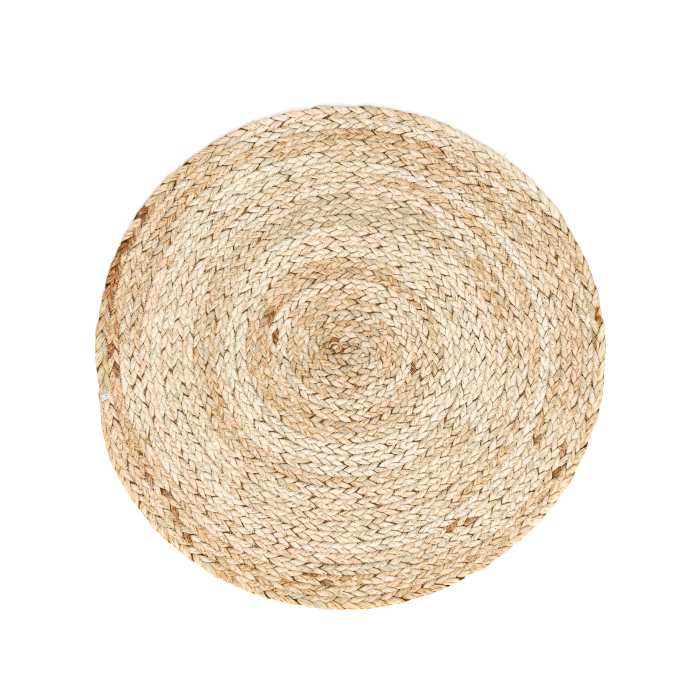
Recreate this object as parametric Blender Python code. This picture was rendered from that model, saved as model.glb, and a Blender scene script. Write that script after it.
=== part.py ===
"""Round corn husk placemat: one long three-strand plait, coiled flat and sewn edge to edge.

The mat is one sheet. Its top follows the coil, with a rounded row for each turn of the plait and
a shallow valley along each seam. Its underside is flat. The plait starts at a short folded core,
winds outward clockwise as seen from above, and its tail tapers into the rim. The row is +Z up, with
the origin under the middle of the mat, on the surface that it lies on.
"""

import math

import bmesh
import bpy

# Driving dimensions, in metres and degrees
ROW_PITCH = 0.0080        # from one seam to the next
THICKNESS = 0.0050        # at the crown of a row
SEAM_DEPTH = 0.0011       # how far a seam lies below the crowns
RIM_AT_TIP = 0.1843       # radius of the coil just past the tip of the tail
CORE_HALF_LENGTH = 0.0041  # the folded core stretches every turn by this much along X, each way
LOBE_HEIGHT = 0.0010      # slack winding leaves three faint lobes on the rim
LOBE_ANGLE = 12.0         # direction of the first lobe
TIP_ANGLE = 189.0         # direction of the tip of the tail
TAIL_SWEEP = 19.0         # the tail narrows over this much of the last turn
COILED_TURNS = 22         # turns around the core, counted to the tip of the tail
STATIONS = 72             # corners for each turn

# The rounded rim: how far each line lies inside the outline, and how high
RIM_SHOULDER_INSET = 0.0011
RIM_SHOULDER_HEIGHT = 0.0042
RIM_MIDDLE_HEIGHT = 0.0022
RIM_FOOT_INSET = 0.0016

HUSK_COLOUR = (0.76, 0.61, 0.40, 1.0)
HUSK_ROUGHNESS = 0.7
SMOOTH_ANGLE = math.radians(40.0)

START_RADIUS = RIM_AT_TIP - ROW_PITCH * COILED_TURNS
LAST_STATION = COILED_TURNS * STATIONS


def clear_scene():
    """Remove every object, so that only the mat is left."""
    for item in list(bpy.data.objects):
        bpy.data.objects.remove(item, do_unlink=True)


def husk_material():
    """Return the dried husk's plain material."""
    material = bpy.data.materials.new("corn_husk")
    material.use_nodes = True
    shader = material.node_tree.nodes["Principled BSDF"]
    shader.inputs["Base Color"].default_value = HUSK_COLOUR
    shader.inputs["Roughness"].default_value = HUSK_ROUGHNESS
    shader.inputs["Metallic"].default_value = 0.0
    return material


def smooth_step(value):
    """Ease from 0 to 1."""
    value = min(max(value, 0.0), 1.0)
    return value * value * (3.0 - 2.0 * value)


def station_angle(station):
    """Direction of a station, in radians; the coil runs outward clockwise and ends at the tip."""
    turns_to_go = (LAST_STATION - station) / STATIONS
    return math.radians(TIP_ANGLE + 360.0 * turns_to_go)


def coil_radius(station):
    """Radius of the inner edge of the plait at a station, before the core stretches it."""
    return START_RADIUS + ROW_PITCH * station / STATIONS


def coil_point(radius, angle):
    """Place a point of the coil in plan."""
    lobe = LOBE_HEIGHT * (radius / RIM_AT_TIP) ** 2 * math.cos(3.0 * (angle - math.radians(LOBE_ANGLE)))
    reach = radius + lobe
    return (reach + CORE_HALF_LENGTH) * math.cos(angle), reach * math.sin(angle)


def outer_radius(station):
    """Radius of the outer edge of the plait at a station of the last turn; the tail narrows to nothing."""
    narrowing_starts = LAST_STATION - STATIONS * TAIL_SWEEP / 360.0
    width_left = 1.0 - smooth_step((station - narrowing_starts) / (LAST_STATION - narrowing_starts))
    return coil_radius(station) + ROW_PITCH * width_left


def outline_centre():
    """Middle of the outline's box in plan, which the mat is moved to."""
    rim = [
        coil_point(outer_radius(station), station_angle(station))
        for station in range(LAST_STATION - STATIONS, LAST_STATION)
    ]
    across = [x for x, _ in rim]
    along = [y for _, y in rim]
    return (min(across) + max(across)) / 2.0, (min(along) + max(along)) / 2.0


def build_mat():
    """Build the coiled mat as one closed mesh."""
    mesh = bmesh.new()
    middle_x, middle_y = outline_centre()

    def corner(radius, station, height):
        x, y = coil_point(radius, station_angle(station))
        return mesh.verts.new((x - middle_x, y - middle_y, height))

    def strip(low, high):
        for first in range(len(low) - 1):
            second = first + 1
            loop = [low[first], low[second], high[second], high[first]]
            mesh.faces.new([v for place, v in enumerate(loop) if v not in loop[:place]])

    def band(low, high):
        strip(low + low[:1], high + high[:1])

    # Seam lines: one for the inner edge of each turn, and the outline for the outer edge of the last
    valley = THICKNESS - SEAM_DEPTH
    rim_stations = range(LAST_STATION - STATIONS, LAST_STATION)
    seams = [corner(coil_radius(station), station, valley) for station in range(LAST_STATION)]
    rim = [corner(outer_radius(station), station, RIM_MIDDLE_HEIGHT) for station in rim_stations]
    shoulder = [
        corner(outer_radius(station) - RIM_SHOULDER_INSET, station, RIM_SHOULDER_HEIGHT)
        for station in rim_stations
    ]
    foot = [corner(outer_radius(station) - RIM_FOOT_INSET, station, 0.0) for station in rim_stations]

    # The crown of each row runs half-way between its seams
    crowns = []
    for station in range(LAST_STATION):
        outer = coil_radius(station) + ROW_PITCH
        if station in rim_stations:
            outer = outer_radius(station) - RIM_SHOULDER_INSET
        crowns.append(corner((coil_radius(station) + outer) / 2.0, station, THICKNESS))

    outer_seams = seams[STATIONS:] + shoulder
    tip = [shoulder[0]]
    strip(seams + tip, crowns + tip)
    strip(crowns + tip, outer_seams + tip)
    band(shoulder, rim)
    band(rim, foot)

    # The core fills the first turn, and the underside is flat
    core_x, core_y = coil_point(0.0, math.radians(90.0))
    core = mesh.verts.new((core_x - middle_x, core_y - middle_y, THICKNESS))
    around_core = seams[:STATIONS + 1] + crowns[:1]
    for first, corner_before in enumerate(around_core):
        corner_after = around_core[(first + 1) % len(around_core)]
        mesh.faces.new((core, corner_before, corner_after))
    mesh.faces.new(foot)

    bmesh.ops.recalc_face_normals(mesh, faces=mesh.faces)
    bmesh.ops.triangulate(mesh, faces=mesh.faces)
    data = bpy.data.meshes.new("mat")
    mesh.to_mesh(data)
    mesh.free()
    data.shade_smooth()
    data.set_sharp_from_angle(angle=SMOOTH_ANGLE)
    data.materials.append(husk_material())
    mat = bpy.data.objects.new("mat", data)
    bpy.context.scene.collection.objects.link(mat)
    return mat


clear_scene()
build_mat()
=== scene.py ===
"""Looks of the corn husk placemat: a three-strand husk plait, coiled flat and sewn edge to edge.

The coil, its plait, the sewing thread and the loose fibres are each a class that works out its own
shape from a few sizes. Sizes are in metres, or in millimetres where a name ends in _mm, with +Z up,
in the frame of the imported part.
"""

import logging
import math
from dataclasses import dataclass, field
from enum import Enum

import bpy
import numpy as np
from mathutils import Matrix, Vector
from mathutils.bvhtree import BVHTree


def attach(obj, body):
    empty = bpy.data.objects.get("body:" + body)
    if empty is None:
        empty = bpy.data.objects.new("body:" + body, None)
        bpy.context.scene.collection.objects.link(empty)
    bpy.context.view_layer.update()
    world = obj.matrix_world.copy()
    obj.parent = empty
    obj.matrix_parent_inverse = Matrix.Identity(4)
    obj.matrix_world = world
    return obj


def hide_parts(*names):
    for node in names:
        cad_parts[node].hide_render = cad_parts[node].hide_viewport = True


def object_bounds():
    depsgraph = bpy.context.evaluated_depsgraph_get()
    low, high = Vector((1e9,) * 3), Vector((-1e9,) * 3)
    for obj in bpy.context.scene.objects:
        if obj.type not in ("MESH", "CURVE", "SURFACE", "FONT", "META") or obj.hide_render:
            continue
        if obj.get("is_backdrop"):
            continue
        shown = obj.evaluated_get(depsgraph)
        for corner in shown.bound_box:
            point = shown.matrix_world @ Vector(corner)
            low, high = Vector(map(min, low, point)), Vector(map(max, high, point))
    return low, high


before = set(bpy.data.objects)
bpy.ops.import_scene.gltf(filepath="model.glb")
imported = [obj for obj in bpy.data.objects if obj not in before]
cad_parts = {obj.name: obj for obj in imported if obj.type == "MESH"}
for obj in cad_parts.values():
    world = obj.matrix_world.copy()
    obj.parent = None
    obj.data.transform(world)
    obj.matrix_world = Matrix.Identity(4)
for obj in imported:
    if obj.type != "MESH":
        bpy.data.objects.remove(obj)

LOG = logging.getLogger("placemat")
MM = 0.001
MAT_MIDDLE = 2.5 * MM   # height of the mat's middle layer
BODY = "root"
MAT_NODE = "mat"


# ---------------------------------------------------------------------------------------------
# Small helpers
# ---------------------------------------------------------------------------------------------


def smooth_step(value: np.ndarray) -> np.ndarray:
    """Ease from 0 to 1 between the inputs 0 and 1."""
    value = np.clip(value, 0.0, 1.0)
    return value * value * (3.0 - 2.0 * value)


def wander(places: np.ndarray, spacing: float, rng: np.random.Generator) -> np.ndarray:
    """Draw a smooth random line between -1 and 1.

    Args:
        places: growing positions along a strand or a row.
        spacing: distance between the line's random knots, in the same unit.
        rng: the seeded source of random numbers.

    Returns:
        One value for each place.
    """
    steps = (places - places[0]) / spacing
    knots = rng.uniform(-1.0, 1.0, int(steps[-1]) + 3)
    low = steps.astype(int)
    blend = smooth_step(steps - low)
    return knots[low] * (1.0 - blend) + knots[low + 1] * blend


@dataclass(frozen=True)
class Waver:
    """How a size strays at random along the plait: by how much, and over what length."""

    amount: float
    spacing: float

    def draw(self, along: np.ndarray, rng: np.random.Generator) -> np.ndarray:
        """Draw the change at each distance along the plait."""
        return self.amount * wander(along, self.spacing, rng)


def linear_colour(code: str) -> tuple[float, float, float, float]:
    """Turn an sRGB hex code into linear light.

    Args:
        code: a colour such as #E2CBA3.

    Returns:
        Red, green and blue in linear light, and full alpha.
    """
    channels = [int(code[place : place + 2], 16) / 255.0 for place in (1, 3, 5)]
    light = [c / 12.92 if c <= 0.04045 else ((c + 0.055) / 1.055) ** 2.4 for c in channels]
    return (*light, 1.0)


def add_node(tree: bpy.types.NodeTree, kind: str, settings: dict, inputs: dict) -> bpy.types.Node:
    """Add a node with its settings and links.

    Args:
        tree: the material's node tree.
        kind: the node's type, such as ShaderNodeMix.
        settings: values for the node's own properties.
        inputs: for each input's name or number, a constant or the socket to link from.

    Returns:
        The new node.
    """
    node = tree.nodes.new(kind)
    for name, value in settings.items():
        setattr(node, name, value)
    for name, value in inputs.items():
        if isinstance(value, bpy.types.NodeSocket):
            tree.links.new(value, node.inputs[name])
        else:
            node.inputs[name].default_value = value
    return node


def mesh_piece(
    name: str,
    corners: np.ndarray,
    faces: list[np.ndarray],
    attributes: dict[str, np.ndarray],
    material: bpy.types.Material,
) -> bpy.types.Object:
    """Make a smooth mesh object from arrays.

    Args:
        name: the piece's name.
        corners: one row of x, y, z for each vertex.
        faces: arrays of vertex numbers, each array holding faces with one count of corners.
        attributes: named values, one for each vertex.
        material: the piece's only material.

    Returns:
        The new object, linked to the scene.
    """
    mesh = bpy.data.meshes.new(name)
    loops = np.concatenate([rows.ravel() for rows in faces])
    totals = np.concatenate([np.full(len(rows), rows.shape[1]) for rows in faces])
    starts = np.concatenate([[0], np.cumsum(totals)[:-1]])
    mesh.vertices.add(len(corners))
    mesh.vertices.foreach_set("co", corners.astype(np.float32).ravel())
    mesh.loops.add(len(loops))
    mesh.loops.foreach_set("vertex_index", loops.astype(np.int32))
    mesh.polygons.add(len(totals))
    mesh.polygons.foreach_set("loop_start", starts.astype(np.int32))
    mesh.polygons.foreach_set("loop_total", totals.astype(np.int32))
    mesh.update(calc_edges=True)
    mesh.validate()
    mesh.shade_smooth()
    for label, values in attributes.items():
        mesh.attributes.new(label, "FLOAT", "POINT").data.foreach_set("value", values.astype(np.float32))
    mesh.materials.append(material)
    piece = bpy.data.objects.new(name, mesh)
    bpy.context.scene.collection.objects.link(piece)
    return piece


def tube_faces(stations: int, around: int) -> list[np.ndarray]:
    """Faces of a closed tube whose vertices are stored station by station.

    Args:
        stations: how many sections the tube has.
        around: how many vertices a section has.

    Returns:
        The wall's quads, and the two end caps.
    """
    ring = np.arange(around)
    after = (ring + 1) % around
    start = np.arange(stations - 1)[:, None] * around
    wall = np.stack([start + ring, start + around + ring, start + around + after, start + after], axis=-1)
    caps = np.stack([ring, (stations - 1) * around + ring[::-1]])
    return [wall.reshape(-1, 4), caps]


def tubes(
    centre: np.ndarray, half_width: np.ndarray, half_height: np.ndarray, around: int
) -> tuple[np.ndarray, list[np.ndarray]]:
    """Make many closed tubes with the same number of stations.

    Args:
        centre: points of the centrelines, by tube, station and axis.
        half_width: half the size sideways, by tube and station.
        half_height: half the size upward, by tube and station.
        around: how many vertices a section has.

    Returns:
        The vertices and the faces.
    """
    heading = np.gradient(centre, axis=1)
    heading /= np.linalg.norm(heading, axis=2, keepdims=True)
    sideways = np.cross(heading, np.array([0.0, 0.0, 1.0]))
    sideways /= np.linalg.norm(sideways, axis=2, keepdims=True)
    upward = np.cross(sideways, heading)
    place = 2.0 * math.pi * np.arange(around) / around + math.pi / 2.0
    wide = (half_width[:, :, None] * np.cos(place))[..., None]
    high = (half_height[:, :, None] * np.sin(place))[..., None]
    corners = centre[:, :, None, :] + wide * sideways[:, :, None, :] + high * upward[:, :, None, :]
    count, stations = centre.shape[:2]
    shift = (np.arange(count) * stations * around)[:, None, None]
    faces = []
    for rows in tube_faces(stations, around):
        faces.append((rows[None] + shift).reshape(-1, rows.shape[1])[:, ::-1])
    return corners.reshape(-1, 3), faces


# ---------------------------------------------------------------------------------------------
# Finishes
# ---------------------------------------------------------------------------------------------


class Husk(Enum):
    """Kinds of husk leaf: how dark the leaf has dried, and how pink (+) or grey (-) it is."""

    WHITE = (0.05, 0.0)
    PINK = (0.18, 0.70)
    CREAM = (0.21, -0.05)
    GREY = (0.40, -0.85)
    STRAW = (0.32, -0.10)
    MAUVE = (0.40, 0.70)
    TAN = (0.48, -0.25)
    HONEY = (0.47, 0.0)
    BROWN = (0.56, -0.25)
    OLIVE = (0.54, -0.95)
    RUST = (0.86, 0.0)

    @property
    def tone(self) -> float:
        """How dark the leaf is, from 0 for bleached to 1 for brown."""
        return self.value[0]

    @property
    def blush(self) -> float:
        """How pink or grey the leaf is, from -1 for grey to 1 for pink."""
        return self.value[1]


@dataclass(frozen=True)
class Grain:
    """One fineness of marking in the leaf: its size across and along, and how strongly it shows."""

    across_mm: float
    along_mm: float
    detail: float
    tone: float
    start_mm: tuple[float, float, float] = (0.0, 0.0, 0.0)


@dataclass(frozen=True)
class HuskFinish:
    """Dried corn husk: a papery leaf, ribbed along its length, twisted and plaited.

    Drying leaves a soft, nearly matt skin, pale where it has bleached and honey to rust where the
    leaf was old or bruised, with fine ribs along each strand. Brown shade between the strands is
    painted into the leaf's colour.
    """

    bleached: str = "#DAD3C6"
    cream: str = "#D8CFBF"
    straw: str = "#D4C3A8"
    honey: str = "#C7A676"
    rust: str = "#9E5E16"
    brown: str = "#54300F"
    pink: str = "#DBBEAB"
    grey: str = "#B7AE9A"
    half_shade: str = "#DCC28A"   # the two shades are painted shade: they darken the leaf's own colour
    shade: str = "#855414"
    ribs: Grain = Grain(0.9, 6.3, 2.0, 0.30)   # drawn about three times as coarse as real ribs
    mottle: Grain = Grain(3.0, 7.5, 3.0, 0.30)
    flecks: Grain = Grain(0.8, 3.2, 1.0, 0.70)
    patches: Grain = Grain(6.0, 10.0, 3.0, 0.0, (71.0, 13.0, 0.0))
    patch_blush: float = 2.0
    patch_middle: float = 0.46   # the patches' own average
    bruise_from: float = 0.60    # flecks above this level are bruises
    bruise_full: float = 0.78
    bruise_shade: float = 0.50
    pink_share: float = 0.55
    grey_share: float = 0.60
    roughness: float = 0.55
    ior: float = 1.40
    specular: float = 0.02     # the fine ribs scatter nearly all of the surface's shine
    rib_height: float = 0.15 * MM
    rib_strength: float = 0.5
    noise_roughness: float = 0.55

    def material(self) -> bpy.types.Material:
        """Build the husk's material, which reads each strand's own values.

        Returns:
            The material.
        """
        material = bpy.data.materials.new("dried_corn_husk")
        material.use_nodes = True
        tree = material.node_tree
        shader = tree.nodes["Principled BSDF"]

        own = {}
        for name in ("tone", "blush", "depth", "grain_across", "grain_along"):
            own[name] = add_node(tree, "ShaderNodeAttribute", {"attribute_name": name}, {}).outputs["Fac"]
        leaf = add_node(
            tree, "ShaderNodeCombineXYZ", {}, {"X": own["grain_across"], "Y": own["grain_along"]}
        ).outputs[0]
        noises = []
        for grain in (self.ribs, self.mottle, self.flecks, self.patches):
            fineness = (1.0 / grain.across_mm, 1.0 / grain.along_mm, 1.0)
            place = add_node(
                tree,
                "ShaderNodeVectorMath",
                {"operation": "MULTIPLY_ADD"},
                {0: leaf, 1: fineness, 2: grain.start_mm},
            ).outputs[0]
            noise = add_node(
                tree,
                "ShaderNodeTexNoise",
                {"noise_dimensions": "2D"},
                {"Vector": place, "Scale": 1.0, "Detail": grain.detail, "Roughness": self.noise_roughness},
            )
            noises.append(noise.outputs[0])
        ribs, mottle, flecks, patches = noises

        # Each noise averages one half, so half of its strength is taken off again
        offset = -0.5 * (self.ribs.tone + self.mottle.tone + self.flecks.tone)
        dried = add_node(
            tree, "ShaderNodeMath", {"operation": "ADD"}, {0: own["tone"], 1: offset}
        ).outputs[0]
        for noise, grain in ((ribs, self.ribs), (mottle, self.mottle), (flecks, self.flecks)):
            dried = add_node(
                tree, "ShaderNodeMath", {"operation": "MULTIPLY_ADD"}, {0: noise, 1: grain.tone, 2: dried}
            ).outputs[0]
        patched = add_node(
            tree,
            "ShaderNodeMath",
            {"operation": "MULTIPLY_ADD"},
            {0: patches, 1: self.patch_blush, 2: -self.patch_middle * self.patch_blush},
        ).outputs[0]
        blush = add_node(
            tree, "ShaderNodeMath", {"operation": "ADD"}, {0: own["blush"], 1: patched}
        ).outputs[0]
        shares = []
        clamped = {"operation": "MULTIPLY", "use_clamp": True}
        for share in (self.pink_share, -self.grey_share):
            shares.append(add_node(tree, "ShaderNodeMath", clamped, {0: blush, 1: share}).outputs[0])
        bruises = add_node(
            tree,
            "ShaderNodeMapRange",
            {},
            {0: flecks, 1: self.bruise_from, 2: self.bruise_full, 3: 0.0, 4: self.bruise_shade},
        ).outputs[0]
        # The strands' painted shade, carried in their depth value, and the real bruises pick the shade
        # that darkens the leaf's colour
        deep = add_node(
            tree, "ShaderNodeMath", {"operation": "ADD"}, {0: own["depth"], 1: bruises}
        ).outputs[0]

        drying = (
            (0.0, self.bleached),
            (0.22, self.cream),
            (0.42, self.straw),
            (0.62, self.honey),
            (0.84, self.rust),
            (1.0, self.brown),
        )
        painted_shading = ((0.0, "#FFFFFF"), (0.55, self.half_shade), (1.0, self.shade))
        colours = []
        for amount, stops in ((dried, drying), (deep, painted_shading)):
            ramp_node = add_node(tree, "ShaderNodeValToRGB", {}, {"Fac": amount})
            ramp = ramp_node.color_ramp
            while len(ramp.elements) < len(stops):
                ramp.elements.new(0.5)
            for element, (place, code) in zip(ramp.elements, stops):
                element.position = place
                element.color = linear_colour(code)
            colours.append(ramp_node.outputs[0])
        colour, shade = colours
        for blend, share, other in (
            ("MIX", shares[0], linear_colour(self.pink)),
            ("MIX", shares[1], linear_colour(self.grey)),
            ("MULTIPLY", 1.0, shade),
        ):
            colour = add_node(
                tree,
                "ShaderNodeMix",
                {"data_type": "RGBA", "blend_type": blend},
                {0: share, 6: colour, 7: other},
            ).outputs[2]
        tree.links.new(colour, shader.inputs["Base Color"])
        bump = add_node(
            tree,
            "ShaderNodeBump",
            {},
            {"Strength": self.rib_strength, "Distance": self.rib_height, "Height": ribs},
        ).outputs[0]
        tree.links.new(bump, shader.inputs["Normal"])
        shader.inputs["Roughness"].default_value = self.roughness
        shader.inputs["IOR"].default_value = self.ior
        shader.inputs["Specular IOR Level"].default_value = self.specular
        return material


@dataclass(frozen=True)
class PlainFinish:
    """A finish with one colour and a fine grain.

    Sewing thread is spun cotton, matt and pale; the husk deep inside the mat and the creases at the
    needle holes are dull, and their brown is painted shade; the studio floor is pale painted board.
    """

    name: str
    light: str
    dark: str
    roughness: float
    grain_mm: float
    specular: float = 0.02

    def material(self) -> bpy.types.Material:
        """Build the material: two close colours, mixed by a fine noise.

        Returns:
            The material.
        """
        material = bpy.data.materials.new(self.name)
        material.use_nodes = True
        tree = material.node_tree
        shader = tree.nodes["Principled BSDF"]
        place = add_node(tree, "ShaderNodeTexCoord", {}, {}).outputs["Object"]
        grain = add_node(
            tree,
            "ShaderNodeTexNoise",
            {},
            {"Vector": place, "Scale": 1.0 / (self.grain_mm * MM), "Detail": 2.0},
        ).outputs[0]
        colour = add_node(
            tree,
            "ShaderNodeMix",
            {"data_type": "RGBA"},
            {0: grain, 6: linear_colour(self.light), 7: linear_colour(self.dark)},
        ).outputs[2]
        tree.links.new(colour, shader.inputs["Base Color"])
        shader.inputs["Roughness"].default_value = self.roughness
        shader.inputs["Specular IOR Level"].default_value = self.specular
        return material


# ---------------------------------------------------------------------------------------------
# The coil
# ---------------------------------------------------------------------------------------------


@dataclass
class Coil:
    """The route that the plait takes, from its folded core outward to the tip of its tail.

    A turn number counts along the plait: 0 is one turn outside the core's start, and `turns` is the
    tip. The coil runs outward clockwise, seen from above.
    """

    pitch: float = 8.0 * MM
    turns: float = 22.0
    core_turns: float = 1.0
    rim_at_tip: float = 184.3 * MM
    tip_angle: float = 189.0
    tail_sweep: float = 19.0
    tip_width: float = 0.3           # share of the plait's width that is left at the tail's tip
    core_half_length: float = 4.1 * MM
    lobe_height: float = 1.0 * MM
    lobe_angle: float = 12.0
    rim_overhang: float = 1.6 * MM   # the last row's outer side isn't squeezed by a neighbour
    core_pull: float = 2.7 * MM      # the first turns are drawn in around the core
    core_stretch: float = 5.9 * MM   # and are longer than they are wide
    core_rise: float = 3.1 * MM
    core_tilt: float = -10.0
    core_fade: float = 8.0           # turns over which the core's shape fades
    middle: tuple[float, float] = field(init=False)

    def __post_init__(self) -> None:
        """Centre the outline's box on the frame's."""
        self.middle = (0.0, 0.0)
        turn = np.linspace(self.turns - 1.0, self.turns, 721)
        edge = self.start_radius + self.pitch * (turn + self.tail_width(turn))
        x, y = self.spread(edge, turn, np.zeros_like(turn))
        self.middle = ((x.min() + x.max()) / 2.0, (y.min() + y.max()) / 2.0)

    @property
    def start_radius(self) -> float:
        """Radius of the inner edge of turn 0."""
        return self.rim_at_tip - self.pitch * self.turns

    def tail_width(self, turn: np.ndarray) -> np.ndarray:
        """Share of the plait's full width at each turn number; the tail narrows to nothing."""
        sweep = self.tail_sweep / 360.0
        return 1.0 - smooth_step((turn - self.turns + sweep) / sweep)

    def narrowing(self, turn: np.ndarray) -> np.ndarray:
        """Share of its full size that the plait keeps: the tail's tip keeps some of it."""
        return self.tip_width + (1.0 - self.tip_width) * self.tail_width(turn)

    def rim_freedom(self, turn: np.ndarray) -> np.ndarray:
        """1 where no further row lies outside the plait, easing to 0 where one does."""
        sweep = self.tail_sweep / 360.0
        return smooth_step((turn - (self.turns - 1.0 - sweep)) / sweep)

    def spread(
        self, radius: np.ndarray, turn: np.ndarray, core: np.ndarray
    ) -> tuple[np.ndarray, np.ndarray]:
        """Place points of the coil in plan.

        Args:
            radius: distance from the coil's pole, before the core stretches it.
            turn: turn number, which gives the direction.
            core: how much the core's own shape shows, from 1 at the core to 0 outside.

        Returns:
            The x and y of each point.
        """
        angle = np.radians(self.tip_angle + 360.0 * (self.turns - turn))
        swell = np.cos(3.0 * (angle - math.radians(self.lobe_angle)))
        lobe = self.lobe_height * (radius / self.rim_at_tip) ** 2 * swell
        tilt = np.radians(self.core_tilt) * core
        stretch = (self.core_half_length + self.core_stretch * core) * np.cos(angle - tilt)
        x = (radius + lobe) * np.cos(angle) + stretch * np.cos(tilt)
        y = (radius + lobe) * np.sin(angle) + stretch * np.sin(tilt) + self.core_rise * core
        return x - self.middle[0], y - self.middle[1]

    def line(self, turn: np.ndarray) -> np.ndarray:
        """Work out the plait's centreline.

        Args:
            turn: turn numbers.

        Returns:
            The plan point at each turn number.
        """
        core = np.exp(-(turn + self.core_turns) / self.core_fade)
        inner_edge = self.start_radius + self.pitch * turn - self.rim_overhang
        half = 0.5 * self.pitch * self.narrowing(turn)
        x, y = self.spread(inner_edge + half - self.core_pull * core, turn, core)
        return np.stack([x, y], axis=-1)

    def route(self) -> "Route":
        """Measure the whole run of the plait."""
        return Route(self)


class Route:
    """The plait's run, measured: maps a place in the plait to a place in the mat."""

    def __init__(self, coil: Coil, samples: int = 60001) -> None:
        """Walk the coil's centreline.

        Args:
            coil: the coil to measure.
            samples: how many points the walk has.
        """
        self.coil = coil
        self.turns = np.linspace(-coil.core_turns, coil.turns, samples)
        self.points = coil.line(self.turns)
        steps = np.linalg.norm(np.diff(self.points, axis=0), axis=1)
        self.run = np.concatenate([[0.0], np.cumsum(steps)])
        self.length = float(self.run[-1])
        heading = np.gradient(self.points, axis=0)
        heading /= np.linalg.norm(heading, axis=1, keepdims=True)
        # The coil runs clockwise, so outward is to the left of the heading
        self.outward = np.stack([-heading[:, 1], heading[:, 0]], axis=-1)

    def turn_at(self, along: np.ndarray) -> np.ndarray:
        """Turn number at each distance along the plait."""
        return np.interp(along, self.run, self.turns)

    def along_at(self, turn: np.ndarray) -> np.ndarray:
        """Distance along the plait at each turn number."""
        return np.interp(turn, self.turns, self.run)

    def place(self, along: np.ndarray, across: np.ndarray, height: np.ndarray) -> np.ndarray:
        """Place points of the plait in the mat.

        Args:
            along: distance along the plait's centreline.
            across: distance outward from the centreline.
            height: height above the table.

        Returns:
            The x, y and z of each point.
        """
        corners = np.empty((*along.shape, 3))
        for axis in (0, 1):
            centre = np.interp(along, self.run, self.points[:, axis])
            corners[..., axis] = centre + across * np.interp(along, self.run, self.outward[:, axis])
        corners[..., 2] = height
        return corners


# ---------------------------------------------------------------------------------------------
# The plait
# ---------------------------------------------------------------------------------------------


@dataclass(frozen=True)
class HuskRun:
    """A run of the plait where the maker worked in one batch of husk."""

    turn: float
    husk: Husk


@dataclass(frozen=True)
class HuskAccent:
    """One odd strip of husk in one strand: where it starts, how long it is, and its kind."""

    turn: float
    strand: int
    length_mm: float
    husk: Husk
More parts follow.
